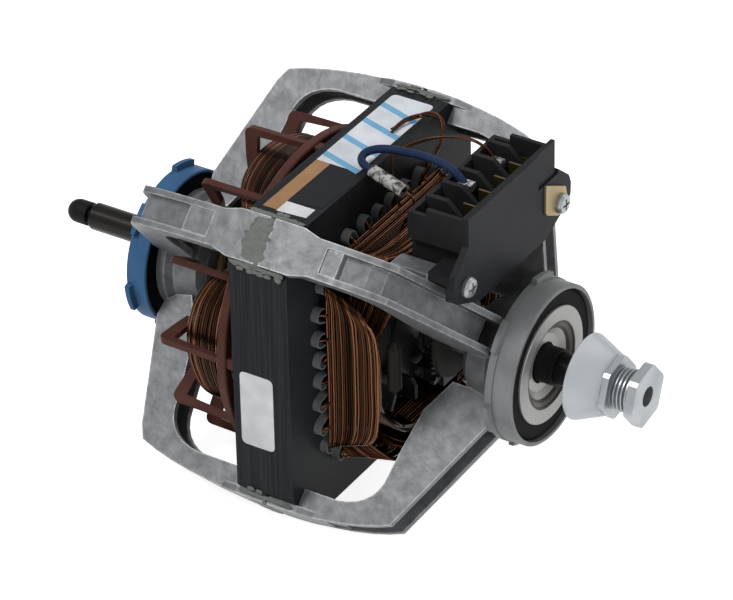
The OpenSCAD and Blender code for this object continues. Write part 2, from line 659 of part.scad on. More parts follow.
// Bell-crank weight on the +Z side: its finger pushes the spool's collar
module weight() difference() {
    union() {
        block([pivot_x + 1.4, pivot_x + 10.6], [-7, 7], [14.6, 20.4]);
        block([pivot_x - 1.6, pivot_x + 2], [-7, 7], [pivot_z - 1.8, pivot_z + 1.9]);
        block([pivot_x - 1.25, pivot_x + 1.25], [-3, 3], [9, pivot_z]);
        block([spring_x - 1, spring_x + 1], [-spring_y - 1.4, spring_y + 1.4], [lug_z - 0.2, lug_z + 1.6]);
    }
    translate([pivot_x, 0, pivot_z]) rod_y(pin_r + seat, 20);
}

module upper_weight() color("#7d8082") placed() weight();
module lower_weight() color("#7d8082") placed() mirror([0, 0, 1]) weight();

module weight_springs() color("#b9bbbd") placed() {
    h = lug_z - 0.25 - spring_wire / 2;
    coils = [for (i = [0:spring_turns * 8]) let (a = i * 45, z = -h + 1 + (2 * h - 2) * i / (spring_turns * 8))
        [spring_x + (spring_r - spring_wire / 2) * cos(a), (spring_r - spring_wire / 2) * sin(a), z]];
    for (y = [-1, 1]) translate([0, y * spring_y, 0])
        tube(concat([coils[0] - [0, 0, 1]], coils, [last(coils) + [0, 0, 1]]), spring_wire, 6);
}

module actuator_spool() color("#3a3835") placed() spin([[shaft_r + 0.04, spool_back],
    [10.6, spool_back], [10.6, spool_back + 1.6], [sleeve_r, spool_back + 1.6], [sleeve_r, disc_x],
    [spool_r - 0.4, disc_x], [spool_r, disc_x + 0.4], [spool_r, disc_x + disc_t - 0.4],
    [spool_r - 0.4, disc_x + disc_t], [shaft_r + 0.04, disc_x + disc_t]]);

// Collar, guard and pulley on the shaft
module shaft_collar() color("#202224") placed()
    spin([[shaft_r + seat / 2, pulley_boss_x - cap_dish + 0.6], [7.1, pulley_boss_x - cap_dish + 0.6], [7.3, pulley_boss_x - cap_dish + 0.8],
        [7.3, pulley_boss_x + 4.4], [7, pulley_boss_x + 4.7], [shaft_r + seat / 2, pulley_boss_x + 4.7]]);

module belt_guard() color("#d5d8da") placed() {
    end = guard_x + guard_len - seat;
    spin([[guard_r - guard_wall, guard_x], [guard_r - 0.5, guard_x], [guard_r, guard_x + 0.5],
        [guard_r - 0.2, guard_x + 1.6], [guard_small_r, end - 0.6], [guard_small_r - 0.6, end],
        [shaft_r + seat / 2, end], [shaft_r + seat / 2, guard_x + 2], [shaft_r + 2, guard_x + 2],
        [shaft_r + 2.2, end - 2.4], [guard_small_r - guard_wall, end - 2.4]]);
}

// Flange with six flats and rounded corners
module hex_flange(x, t) intersection() {
    translate([x, 0, 0]) rotate([10 - 90, 0, 0]) rotate([0, 90, 0])
        cylinder(d = hex_af / cos(30), h = t, $fn = 6);
    rod_x(hex_af / 2 + 1.2, x, x + t, fine);
}

module drive_pulley() color("#c4c8c9") placed() difference() {
    union() {
        hex_flange(guard_x + guard_len, inner_flange_t);
        hex_flange(flange_x, flange_t);
        spin(concat([[0, grooves_x - 0.5], [groove_d / 2, grooves_x - 0.5]],
            [for (i = [0:groove_count - 1]) let (x = grooves_x + i * groove_pitch) each [[groove_d / 2, x + 0.2],
                [groove_d / 2 - groove_depth, x + groove_pitch / 2 - 0.15],
                [groove_d / 2 - groove_depth, x + groove_pitch / 2 + 0.15], [groove_d / 2, x + groove_pitch - 0.2]]],
            [[groove_d / 2, flange_x + 0.5], [0, flange_x + 0.5]]));
    }
    rod_x(shaft_r + seat / 2, guard_x, shaft_end + seat, fine);
    rod_x(tool_hole_r, shaft_end, pulley_end + 1, fine);
}

// Start switch
cover_back = switch_x - switch_cover_t;
housing_front = cover_back - seat;
housing_back = housing_front - switch_depth;
box_bottom = screw_z - 2.4;
wall = 1.8;
lever_x = switch_x - 15.4;
lever_z = box_bottom - 3;

module cover_outline() polygon([[-switch_half_w, switch_top], [switch_half_w, switch_top],
    [switch_half_w, switch_top - 12], [screw_y + 8, screw_z + 8], [screw_y + 9.6, screw_z + 4],
    [screw_y + 9.4, screw_z - 1], [screw_y + 6.6, screw_z - 4.2], [24.4, 37], [-24.4, 37],
    [-screw_y - 6.6, screw_z - 4.2], [-screw_y - 9.4, screw_z - 1], [-screw_y - 9.6, screw_z + 4],
    [-screw_y - 8, screw_z + 8], [-switch_half_w, switch_top - 12]]);

module switch_cover() color("#2f3134") placed() {
    difference() {
        across_shaft(cover_back, switch_x) cover_outline();
        for (s = [-1, 1]) translate([0, s * screw_y, screw_z]) rod_x(screw_r + 0.2, cover_back - 1, switch_x + 1, 32);
        // Stepped back beside the ground tab
        block([switch_x - 0.8, switch_x + 1], [switch_half_w - 13.4, switch_half_w + 1],
            [screw_z + 13, switch_top + 1]);
    }
}

module switch_housing() color("#26282a") placed() {
    inner_x = [housing_back + wall, housing_front - wall];
    side = switch_half_w - 1;
    difference() {
        union() {
            block([housing_back + 8, housing_front], [-side, side], [box_bottom + 14, switch_top - 2]);
            block([housing_back, housing_back + 8.2], [-side, side], [box_bottom + 14, switch_top - 5]);
            block([housing_back, housing_front], [-28, 28], [box_bottom, box_bottom + 14.2]);
            block([housing_back + 4, housing_front], [-19, 19], [box_bottom - 8, box_bottom + 0.2]);
            for (s = [-1, 1]) translate([0, s * screw_y, screw_z]) ear_block();
        }
        // Room for the legs the ears stand beside
        for (a = [45, 135]) at_angle(a) block([switch_x - 40, ear_root], [-leg_w / 2 - 0.4, leg_w / 2 + 0.4], [20, 84]);
        // Open top, divided by partitions
        block([inner_x[0], inner_x[1]], [-side + wall, side - wall], [box_bottom + 16, switch_top + 1]);
        // Slot for the lever
        block([lever_x - 5.6, lever_x + 4], [-5, 5], [box_bottom - 9, box_bottom + 12]);
        for (s = [-1, 1]) translate([0, s * screw_y, screw_z]) rod_x(screw_r + 0.2, post_end, housing_front + 1, 32);
        translate([lever_x, 0, lever_z]) rod_y(1.25 + seat, 30);
    }
    for (y = [-20, -9, 2, 13, 24])
        translate([0, y, 0]) partition(inner_x[0] - 0.1, inner_x[1] + 0.1);
}

// Wall between two terminals, its top sloping down to the cover
module partition(from, to) rotate([90, 0, 0]) linear_extrude(2.2, center = true)
    polygon([[from, box_bottom + 15.9], [from, switch_top - 3], [from + 9, switch_top - 3],
        [to - 3, switch_top - 11], [to, switch_top - 11], [to, box_bottom + 15.9]]);

ear_root = switch_x - 5.2;
module ear_block() block([post_end + seat, housing_front], [-6.5, 6.5], [-4.4, 6]);

module switch_terminals() color("#c9a24d") placed() for (y = [-14.5, -3.5, 7.5, 18.5])
    translate([0, y, 0]) {
        block([housing_front - 10, housing_front - 4], [-0.4, 0.4], [box_bottom + 16.05, switch_top - 6]);
        block([housing_front - 16, housing_front - 9], [-2.6, 2.6], [box_bottom + 16.05, box_bottom + 17]);
    }

module switch_contacts() color("#b98f45") placed() for (y = [-25.4, 28 - 9.4 + 8])
    block([housing_front - 14, housing_front - 4], [y - 0.4, y + 0.4], [box_bottom + 16.05, switch_top - 8]);

// Lever that hangs from its pin and bears on the spool's disc
module switch_lever() color("#3d3b38") placed() {
    foot_x = disc_x + disc_t + spool_gap;
    difference() {
        union() {
            translate([lever_x, 0, lever_z]) rod_y(3, 8);
            hull() {
                translate([lever_x, 0, lever_z]) rod_y(2.2, 8);
                translate([foot_x + 1.6, 0, 22]) rod_y(1.6, 8);
            }
            hull() {
                translate([foot_x + 1.6, 0, 22]) rod_y(1.6, 8);
                translate([foot_x + 1.6, 0, 13.4]) rod_y(1.6, 14);
            }
        }
        translate([lever_x, 0, lever_z]) rod_y(1.25 + seat, 30);
    }
}
spool_gap = 0.3;

module lever_pin() color("#c2c4c6") placed() translate([lever_x, 0, lever_z]) rod_y(1.25, 24);

module switch_screws() color("#c8cacc") placed() for (s = [-1, 1]) translate([0, s * screw_y, screw_z]) {
    head_x = s > 0 ? switch_x + 0.9 : switch_x;
    difference() {
        spin([[0, head_x + seat], [4, head_x + seat], [4, head_x + 1.3], [3.4, head_x + 2.4], [0, head_x + 2.8]]);
        block([head_x + 1.6, head_x + 4], [-2.4, 2.4], [-0.5, 0.5]);
        block([head_x + 1.6, head_x + 4], [-0.5, 0.5], [-2.4, 2.4]);
    }
    rod_x(screw_r - seat, cover_back - 20, head_x + 0.2, 32);
}

module ground_tab() color("#c9b27c") placed() difference() {
    across_shaft(switch_x + seat, switch_x + 0.85) translate([screw_y, screw_z])
        polygon([[-10.4, 13], [-3.5, 9.4], [4.2, 5.2], [5.2, 1], [4, -4.2], [-1, -5], [-9.6, -0.4], [-10.6, 1]]);
    translate([0, screw_y, screw_z]) rod_x(screw_r + 0.3, switch_x - 1, switch_x + 2, 32);
}

module thermal_protector() color("#8b8d8a") placed() {
    r = 2.8;
    x = stack_half + pulley_turns_h + r + clear;
    translate([x, -40, 7]) {
        translate([0, 0, -9]) cylinder(r = r, h = 18, $fn = 40);
        for (s = [-1, 1]) translate([0, 0, s * 9]) cylinder(r1 = s > 0 ? r : 1, r2 = s > 0 ? 1 : r, h = 3,
            center = false, $fn = 40);
    }
}

// Leads: hand-placed route points
splice_from = [15, -9.6, stack_top + 2.5];
splice_to = [31, -13, stack_top + 0.2];
splice_way = unit(splice_to - splice_from);
blue_route = [splice_from + 6 * splice_way, splice_from + 0.5 * splice_way, splice_from - 2.5 * splice_way,
    [9.2, -7.4, stack_top + 3.4], [7.8, -4.4, stack_top + 4.2], [9, -1, stack_top + 4.8],
    [13, 1.6, stack_top + 5.4], [20, 2.4, stack_top + 6.2], [31, 1.4, stack_top + 7.8],
    [switch_x - 30, -1.4, box_bottom + 29], [switch_x - 23.5, -3.2, box_bottom + 28.4],
    [switch_x - 19, -3.5, box_bottom + 25], [switch_x - 17, -3.5, box_bottom + 21],
    [switch_x - 16.8, -3.5, box_bottom + 17.3]];
brown_route = [[5.4, 20, stack_top + 1.6], [6.4, 28, stack_top + 1.8], [11, 35, stack_top + 2.4],
    [16.4, 36.6, stack_top + 1.6], [20, 33, stack_top - 2.8], [19, 27, turn_face + 9.4],
    [17.6, 22.6, turn_face + 4.6], [17, 21, turn_face + 1.6]];
copper_route = [[20, 2, turn_face + 1.6], [17, 3, turn_face + 7.4], [14.6, 5, stack_top - 3.8],
    [15.6, 8.6, stack_top + 1.8], [25.6, 17, stack_top + 5.8],
    [switch_x - 32, 19, box_bottom + 28.4], [switch_x - 23.5, 18.6, box_bottom + 27.6],
    [switch_x - 18.6, 18.5, box_bottom + 23.6], [switch_x - 17.2, 18.5, box_bottom + 20],
    [switch_x - 17, 18.5, box_bottom + 17.3]];
copper_drop_route = [splice_to - 7 * splice_way, splice_to + 2 * splice_way, [35.6, -13.8, stack_top - 2.4],
    [34.6, -13.4, turn_face + 12.4], [30.4, -12.6, turn_face + 5.8], [28.6, -12.2, turn_face + 1.6]];

module blue_lead() color("#2f5fa8") placed() tube(curve(blue_route, 4), blue_d, 8);
module brown_lead() color("#5a3424") placed() tube(curve(brown_route, 3), brown_d, 8);
module copper_leads() color("#b36a3a") placed() {
    tube(curve(copper_route, 4), copper_d, 8);
    tube(curve(copper_drop_route, 4), copper_d, 8);
}

// Open sleeve over the joint of the blue lead and the coil's end
module lead_splice() color("#e4e3dc") placed() translate(splice_from)
    rotate([0, acos(splice_way[2]), atan2(splice_way[1], splice_way[0])]) difference() {
        cylinder(d = blue_d + 1.8, h = norm(splice_to - splice_from), $fn = 32);
        translate([0, 0, -1]) cylinder(d = blue_d + 0.5, h = norm(splice_to - splice_from) + 2, $fn = 32);
    }

stator_core();
slot_liners();
winding_front();
winding_rear();
winding_top();
winding_bottom();
start_winding();
winding_insulator();
corner_bonds();
blower_shield();
pulley_shield();
blower_ring_shell();
blower_ring_rubber();
pulley_ring_shell();
pulley_ring_rubber();
blower_bearing();
pulley_bearing();
blower_oil_felt();
pulley_oil_felt();
blower_bearing_cap();
pulley_bearing_cap();
switch_housing();
switch_cover();
switch_terminals();
switch_contacts();
switch_lever();
lever_pin();
switch_screws();
ground_tab();
thermal_protector();
blue_lead();
brown_lead();
copper_leads();
lead_splice();
rotor_core();
rotor_cage();
shaft();
thread_cap();
thrust_washers();
actuator_plate();
actuator_spool();
upper_weight();
lower_weight();
weight_pins();
weight_springs();
shaft_collar();
belt_guard();
drive_pulley();
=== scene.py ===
import json
import math
import random

import bpy
from mathutils import Matrix, Vector
from mathutils.noise import noise as wander


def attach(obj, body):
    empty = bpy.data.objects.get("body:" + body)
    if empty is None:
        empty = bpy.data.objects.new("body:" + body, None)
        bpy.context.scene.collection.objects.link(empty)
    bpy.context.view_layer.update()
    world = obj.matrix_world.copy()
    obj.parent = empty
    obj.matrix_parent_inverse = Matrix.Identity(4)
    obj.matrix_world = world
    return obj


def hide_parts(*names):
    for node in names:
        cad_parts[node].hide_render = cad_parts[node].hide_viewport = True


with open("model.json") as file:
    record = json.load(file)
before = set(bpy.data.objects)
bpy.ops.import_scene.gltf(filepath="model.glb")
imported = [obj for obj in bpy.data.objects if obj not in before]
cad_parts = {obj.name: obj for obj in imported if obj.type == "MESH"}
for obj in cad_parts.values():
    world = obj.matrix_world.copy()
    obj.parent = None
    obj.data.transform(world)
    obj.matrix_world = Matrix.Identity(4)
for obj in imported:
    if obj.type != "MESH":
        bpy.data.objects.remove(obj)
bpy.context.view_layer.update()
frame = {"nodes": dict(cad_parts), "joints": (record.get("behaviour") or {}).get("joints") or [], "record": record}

MM = 0.001
AXIS = Vector(next(j["pos_m"] for j in frame["joints"] if j["name"] == "rotor_spin"))


def at(x, y, z):
    """A point in motor millimetres: x along the shaft from the middle of the stack."""
    return AXIS + Vector((x, y, z)) * MM


# Materials

# How much a surface mirrors, apart from the clear ones
MATT = 0.08


def new_material(name, color, roughness, metallic=0.0):
    material = bpy.data.materials.new(name)
    material.use_nodes = True
    shader = material.node_tree.nodes["Principled BSDF"]
    shader.inputs["Base Color"].default_value = (*color, 1.0)
    shader.inputs["Metallic"].default_value = metallic
    shader.inputs["Roughness"].default_value = roughness
    shader.inputs["Specular IOR Level"].default_value = MATT
    return material


def node(material, kind, **values):
    """A new node; each value goes to the input of that name, or else to the node's own setting."""
    made = material.node_tree.nodes.new(kind)
    for name, value in values.items():
        if name in made.inputs:
            made.inputs[name].default_value = value
        else:
            setattr(made, name, value)
    return made


def link(material, source, target):
    material.node_tree.links.new(source, target)


def coordinates(material):
    return node(material, "ShaderNodeTexCoord").outputs["Object"]


def noise(material, scale, detail=4.0):
    made = node(material, "ShaderNodeTexNoise", Scale=scale, Detail=detail)
    link(material, coordinates(material), made.inputs["Vector"])
    return made.outputs["Fac"]


def shader_of(material):
    return material.node_tree.nodes["Principled BSDF"]


def mottle(material, low, high, scale, spread=(0.35, 0.65)):
    """Colour that wanders between low and high."""
    ramp = node(material, "ShaderNodeValToRGB")
    ramp.color_ramp.elements[0].position = spread[0]
    ramp.color_ramp.elements[0].color = (*low, 1.0)
    ramp.color_ramp.elements[1].position = spread[1]
    ramp.color_ramp.elements[1].color = (*high, 1.0)
    link(material, noise(material, scale), ramp.inputs["Fac"])
    link(material, ramp.outputs["Color"], shader_of(material).inputs["Base Color"])
    return ramp


def bump(material, height, depth_mm, strength):
    made = node(material, "ShaderNodeBump", Strength=strength, Distance=depth_mm * MM)
    link(material, height, made.inputs["Height"])
    link(material, made.outputs["Normal"], shader_of(material).inputs["Normal"])


# How far the rounded normal agrees with the face's own: on a flat, and at an edge with the full painted highlight
FLAT_TURN = 0.995
EDGE_TURN = 0.90


def cast_metal(name, low, high, edge):
    """Cast metal, with a painted highlight in patches along its edges."""
    material = new_material(name, high, roughness=0.42, metallic=0.35)
    ramp = mottle(material, low, high, scale=210.0, spread=(0.30, 0.72))
    rounding = node(material, "ShaderNodeBevel", Radius=1.0 * MM, samples=4)
    face = node(material, "ShaderNodeNewGeometry")
    turn = node(material, "ShaderNodeVectorMath", operation="DOT_PRODUCT")
    link(material, rounding.outputs["Normal"], turn.inputs[0])
    link(material, face.outputs["Normal"], turn.inputs[1])
    # Painted highlight: the sharper the edge, the more its colour goes to the edge colour, in patches
    edge_glint = node(material, "ShaderNodeMapRange")
    edge_glint.inputs["From Min"].default_value = FLAT_TURN
    edge_glint.inputs["From Max"].default_value = EDGE_TURN
    link(material, turn.outputs["Value"], edge_glint.inputs["Value"])
    patchy = node(material, "ShaderNodeMath", operation="MULTIPLY")
    link(material, edge_glint.outputs["Result"], patchy.inputs[0])
    link(material, noise(material, scale=420.0), patchy.inputs[1])
    mix = node(material, "ShaderNodeMix", data_type="RGBA")
    link(material, patchy.outputs["Value"], mix.inputs["Factor"])
    link(material, ramp.outputs["Color"], mix.inputs["A"])
    mix.inputs["B"].default_value = (*edge, 1.0)
    link(material, mix.outputs["Result"], shader_of(material).inputs["Base Color"])
    bump(material, noise(material, scale=290.0, detail=8.0), depth_mm=0.28, strength=0.8)
    return material


def plain(name, color, metallic=0.0, roughness=0.5, grain=0.0, scale=900.0):
    """One colour with a faint wander; grain is the depth of its bumps in mm, scale their number."""
    material = new_material(name, color, roughness, metallic)
    darker = [c * 0.86 for c in color]
    lighter = [min(1.0, c * 1.1) for c in color]
    mottle(material, darker, lighter, scale=70.0)
    if grain:
        bump(material, noise(material, scale, detail=3.0), depth_mm=grain, strength=0.5)
    return material


def blotched(name, low, high, scale, roughness, metallic=0.0):
    """Uneven patches of two colours, with bumps to match."""
    material = new_material(name, high, roughness, metallic)
    mottle(material, low, high, scale, spread=(0.42, 0.56))
    bump(material, noise(material, scale * 1.5), depth_mm=0.4, strength=0.7)
    return material


def lamination_steel():
    """Sheets stacked along X: uneven fine streaks on the sides, plain on the end faces."""
    material = new_material("laminations", (0.03, 0.032, 0.034), roughness=0.5)
    stretch = node(material, "ShaderNodeMapping", Scale=(1.0, 0.02, 0.02))
    link(material, coordinates(material), stretch.inputs["Vector"])
    streaks = node(material, "ShaderNodeTexNoise", Scale=900.0, Detail=3.0)
    link(material, stretch.outputs["Vector"], streaks.inputs["Vector"])
    ramp = node(material, "ShaderNodeValToRGB")
    ramp.color_ramp.elements[0].position = 0.34
    ramp.color_ramp.elements[0].color = (0.010, 0.011, 0.012, 1.0)
    ramp.color_ramp.elements[1].position = 0.68
    ramp.color_ramp.elements[1].color = (0.026, 0.028, 0.0305, 1.0)
    link(material, streaks.outputs["Fac"], ramp.inputs["Fac"])
    link(material, ramp.outputs["Color"], shader_of(material).inputs["Base Color"])
    bump(material, streaks.outputs["Fac"], depth_mm=0.15, strength=0.5)
    return material


def wire_copper(name, low, high):
    """Enamelled wire: each wire has its own tone, spread wide so that a few bright wires are painted glints and
    the many dark ones painted shade between wires.
    """
    material = new_material(name, high, roughness=0.24, metallic=0.85)
    ramp = node(material, "ShaderNodeValToRGB")
    ramp.color_ramp.elements[0].color = (*low, 1.0)
    ramp.color_ramp.elements[1].color = (*high, 1.0)
    between = [a + 0.26 * (b - a) for a, b in zip(low, high)]
    ramp.color_ramp.elements.new(0.6).color = (*between, 1.0)
    island = node(material, "ShaderNodeNewGeometry").outputs["Random Per Island"]
    link(material, island, ramp.inputs["Fac"])
    link(material, ramp.outputs["Color"], shader_of(material).inputs["Base Color"])
    return material


# Where the last band of colour ends, in mm
BANDS_END = 300


def banded(name, place_socket, bands, metallic, roughness):
    """Colours in bands of (start in mm, colour), along the value in metres that place_socket gives."""
    material = new_material(name, bands[0][1], roughness, metallic)
    reach = node(material, "ShaderNodeMapRange")
    first = bands[0][0]
    reach.inputs["From Min"].default_value = first * MM
    reach.inputs["From Max"].default_value = BANDS_END * MM
    ramp = node(material, "ShaderNodeValToRGB")
    ramp.color_ramp.interpolation = "CONSTANT"
    ramp.color_ramp.elements.remove(ramp.color_ramp.elements[1])
    ramp.color_ramp.elements[0].color = (*bands[0][1], 1.0)
    for start, color in bands[1:]:
        made = ramp.color_ramp.elements.new((start - first) / (BANDS_END - first))
        made.color = (*color, 1.0)
    link(material, place_socket(material), reach.inputs["Value"])
    link(material, reach.outputs["Result"], ramp.inputs["Fac"])
    link(material, ramp.outputs["Color"], shader_of(material).inputs["Base Color"])
    return material


def from_middle(material):
    """Each point's place from the middle of the motor, in metres."""
    moved = node(material, "ShaderNodeVectorMath", operation="SUBTRACT")
    link(material, coordinates(material), moved.inputs[0])
    moved.inputs[1].default_value = AXIS
    return moved.outputs["Vector"]


def along_shaft(material):
    """How far each point is along the shaft, in metres."""
    split = node(material, "ShaderNodeSeparateXYZ")
    link(material, from_middle(material), split.inputs["Vector"])
    return split.outputs["X"]


def off_shaft(material):
    """How far each point is from the shaft's axis, in metres."""
    flat = node(material, "ShaderNodeVectorMath", operation="MULTIPLY")
    link(material, from_middle(material), flat.inputs[0])
    flat.inputs[1].default_value = (0.0, 1.0, 1.0)
    length = node(material, "ShaderNodeVectorMath", operation="LENGTH")
    link(material, flat.outputs["Vector"], length.inputs[0])
    return length.outputs["Value"]


BRIGHT = (0.42, 0.43, 0.44)
BLACKENED = (0.022, 0.021, 0.020)
SHAFT_BANDS = [(-BANDS_END, BLACKENED), (-84, BRIGHT), (70, BLACKENED), (104, BRIGHT)]
# Across the cap, by distance from the shaft in mm: a bright floor, then from 13.3 to 17.3 a painted shade of the
# recess wall, broken by a thin lighter line at 14.9, then the bright flange
CAP_BANDS = [
    (0, (0.46, 0.46, 0.445)), (13.3, (0.050, 0.043, 0.036)), (14.9, (0.12, 0.11, 0.095)),
    (15.4, (0.036, 0.030, 0.025)), (17.3, (0.39, 0.39, 0.38)),
]


def translucent_nylon():
    """Milky clear plastic, a little glossy."""
    material = new_material("clear_nylon", (0.78, 0.82, 0.86), roughness=0.42)
    shader = shader_of(material)
    shader.inputs["Coat Weight"].default_value = 0.1
    shader.inputs["Coat Roughness"].default_value = 0.1
    shader.inputs["Specular IOR Level"].default_value = 0.5
    shader.inputs["Transmission Weight"].default_value = 0.45
    shader.inputs["IOR"].default_value = 1.5
    return material


MATERIALS = {
    "laminations": lamination_steel(),
    "slot_liner": plain("slot_liner", (0.20, 0.205, 0.21), roughness=0.45),
    "magnet_wire": wire_copper("magnet_wire", (0.014, 0.007, 0.004), (0.19, 0.080, 0.040)),
    "start_wire": wire_copper("start_wire", (0.014, 0.007, 0.004), (0.13, 0.053, 0.026)),
    "insulator": plain("insulator", (0.100, 0.039, 0.031), roughness=0.45, grain=0.05),
    "bond": plain("bond", (0.20, 0.208, 0.196), roughness=0.42, grain=0.12, scale=260.0),
    # The last colour of a casting is its painted highlight along the edges
    "casting": cast_metal("casting", (0.150, 0.154, 0.160), (0.243, 0.249, 0.258), (0.72, 0.73, 0.74)),
    "blue_shell": plain("blue_shell", (0.060, 0.155, 0.31), roughness=0.5, grain=0.03),
    "grey_shell": plain("grey_shell", (0.24, 0.245, 0.25), metallic=0.2, roughness=0.45, grain=0.05),
    "ring_rubber": plain("ring_rubber", (0.006, 0.006, 0.0064), roughness=0.7, grain=0.08),
    "sleeve_bronze": plain("sleeve_bronze", (0.28, 0.175, 0.077), metallic=0.9, roughness=0.4),
    "felt": plain("felt", (0.50, 0.45, 0.34), roughness=0.95, grain=0.3, scale=600.0),
    "cap_steel": banded("cap_steel", off_shaft, CAP_BANDS, metallic=0.4, roughness=0.35),
    "switch_black": plain("switch_black", (0.021, 0.0215, 0.023), roughness=0.55, grain=0.06),
    "switch_cover": plain("switch_cover", (0.018, 0.019, 0.0215), roughness=0.5, grain=0.05),
    "terminal_brass": plain("terminal_brass", (0.14, 0.10, 0.045), metallic=0.8, roughness=0.35),
    "lever_plastic": plain("lever_plastic", (0.045, 0.042, 0.038), roughness=0.45),
    "bright_steel": banded("shaft_steel", along_shaft, SHAFT_BANDS, metallic=0.9, roughness=0.28),
    "zinc": plain("zinc", (0.37, 0.39, 0.405), metallic=0.75, roughness=0.36, grain=0.05, scale=500.0),
    "tan_tab": plain("tan_tab", (0.46, 0.37, 0.20), metallic=0.4, roughness=0.42),
    "protector": plain("protector", (0.012, 0.011, 0.010), roughness=0.45, grain=0.1),
    "blue_insulation": plain("blue_insulation", (0.020, 0.036, 0.092), roughness=0.5, grain=0.2),
    "brown_insulation": plain("brown_insulation", (0.055, 0.025, 0.015), roughness=0.4),
    "white_sleeve": blotched(
        "white_sleeve", (0.06, 0.058, 0.05), (0.55, 0.55, 0.52), scale=420.0, roughness=0.7
    ),
    "crimp": blotched(
        "crimp", (0.12, 0.12, 0.115), (0.62, 0.62, 0.60), scale=800.0, roughness=0.35, metallic=0.8
    ),
    "rotor_steel": plain("rotor_steel", (0.045, 0.045, 0.046), metallic=0.6, roughness=0.5),
    # Aluminium coloured near black as a painted shade of the shadowed inside of the motor; its last colour is the
    # painted highlight along the edges
    "cage_aluminium": cast_metal(
        "cage_aluminium", (0.04, 0.041, 0.042), (0.085, 0.087, 0.09), (0.2, 0.2, 0.2)
    ),
    "black_cap": plain("black_cap", (0.012, 0.012, 0.013), roughness=0.5, grain=0.1),
    "washer_phenolic": plain("washer_phenolic", (0.28, 0.18, 0.09), roughness=0.6),
    "pressed_steel": plain("pressed_steel", (0.06, 0.06, 0.06), metallic=0.7, roughness=0.45),
    "spool_plastic": plain("spool_plastic", (0.040, 0.038, 0.035), roughness=0.5),
    "weight_steel": plain("weight_steel", (0.04, 0.04, 0.041), metallic=0.7, roughness=0.45),
    "spring_steel": plain("spring_steel", (0.15, 0.15, 0.155), metallic=0.9, roughness=0.35),
    "black_sleeve": plain("black_sleeve", (0.016, 0.016, 0.016), roughness=0.5),
    "clear_nylon": translucent_nylon(),
}

for part in frame["record"]["subparts"]:
    for place in frame["nodes"][part["node"]].material_slots:
        place.material = MATERIALS[part["material_slot"]]


# Building blocks

def rides(piece, body, slot, *stands_for):
    """Tie a piece to a body, and to the nodes that it is shown for; the slot is not used."""
    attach(piece, body)
    if stands_for:
        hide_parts(*stands_for)
    return piece


def add(name, data, slot):
    piece = bpy.data.objects.new(name, data)
    data.materials.append(MATERIALS[slot])
    bpy.context.collection.objects.link(piece)
    return piece


def wires(name, routes, radius_mm, slot, steps=4):
    """One curve object with a smooth round wire along each route of motor-millimetre points."""
    data = bpy.data.curves.new(name, "CURVE")
    data.dimensions = "3D"
    data.bevel_depth = radius_mm * MM
    data.bevel_resolution = 1
    data.resolution_u = steps
    data.use_fill_caps = True
    for route in routes:
        spline = data.splines.new("BEZIER")
        spline.bezier_points.add(len(route) - 1)
        for point, place in zip(spline.bezier_points, route):
            point.co = at(*place)
            point.handle_left_type = "AUTO"
            point.handle_right_type = "AUTO"
    return add(name, data, slot)


def solid(name, points, faces, slot, smooth=False):
    data = bpy.data.meshes.new(name)
    data.from_pydata([tuple(at(*p)) for p in points], [], faces)
    data.update()
    for face in data.polygons:
        face.use_smooth = smooth
    return add(name, data, slot)


def loft(name, rings, slot):
    """A closed solid through rings with the same number of points."""
    count = len(rings[0])
    last = (len(rings) - 1) * count
    points = [p for ring in rings for p in ring]
    faces = []
    for low in range(0, last, count):
        for k in range(count):
            n = (k + 1) % count
            faces.append((low + k, low + n, low + count + n, low + count + k))
    faces.append(tuple(reversed(range(count))))
    faces.append(tuple(last + k for k in range(count)))
    return solid(name, points, faces, slot)


# Windings

STACK = frame["nodes"]["stator_core"].dimensions / MM
STACK_HALF = STACK.x / 2
SLOTS = 32
SLOT_PITCH = 360 / SLOTS
COIL_SIDES = {"front": 180, "rear": 0, "top": 90, "bottom": -90}
CORNERS = (45, 135, 225, 315)
WIRE_R = 0.48
START_WIRE_R = 0.36

# The wires start inside their slots and run straight out to where they bend
INSIDE = STACK_HALF - 1.0
LEAVE = STACK_HALF + 2.6

# How loosely the turns lie along the shaft and across the coil
LOOSE_ALONG = 0.2
LOOSE_ACROSS = 0.12
rng = random.Random(7)


def jitter(amount):
    return rng.uniform(-amount, amount)


def local(angle, x, out, side):
    """From a coil group's frame to the motor's: out is along the group's middle, side across it."""
    c, s = math.cos(math.radians(angle)), math.sin(math.radians(angle))
    return (x, out * c - side * s, out * s + side * c)


def slot_place(x, r, slots):
    """A place in the slot that lies so many pitches to one side of the coil's middle."""
    a = math.radians(slots * SLOT_PITCH)
    return (x, r * math.cos(a), r * math.sin(a))


def bow(power):
    """Steps up to the crown of a rounded end turn: (across, rise), each between 0 and 1."""
    steps = 5
    angles = [math.pi / 2 * i / steps for i in range(1, steps + 1)]
    return [(math.cos(a) ** (2 / power), math.sin(a) ** (2 / power)) for a in angles]


def each_turn(count, x_low, x_high, r_low, r_high):
    """Each turn's reach along the shaft, loosely even, and its place in the slot, outermost first."""
    for k in range(count):
        t = k / (count - 1)
        yield x_low + (x_high - x_low) * t + jitter(LOOSE_ALONG), r_high + (r_low - r_high) * t


def whole_turn(angle, ends, half):
    """An end turn in the motor's frame: the far half mirrors the near one, loosely along the shaft."""
    back = [(x + jitter(LOOSE_ALONG), out, -side) for x, out, side in reversed(half[:-1])]
    far_ends = [(x, out, -side) for x, out, side in reversed(ends)]
    return [local(angle, *p) for p in ends + half + back + far_ends]


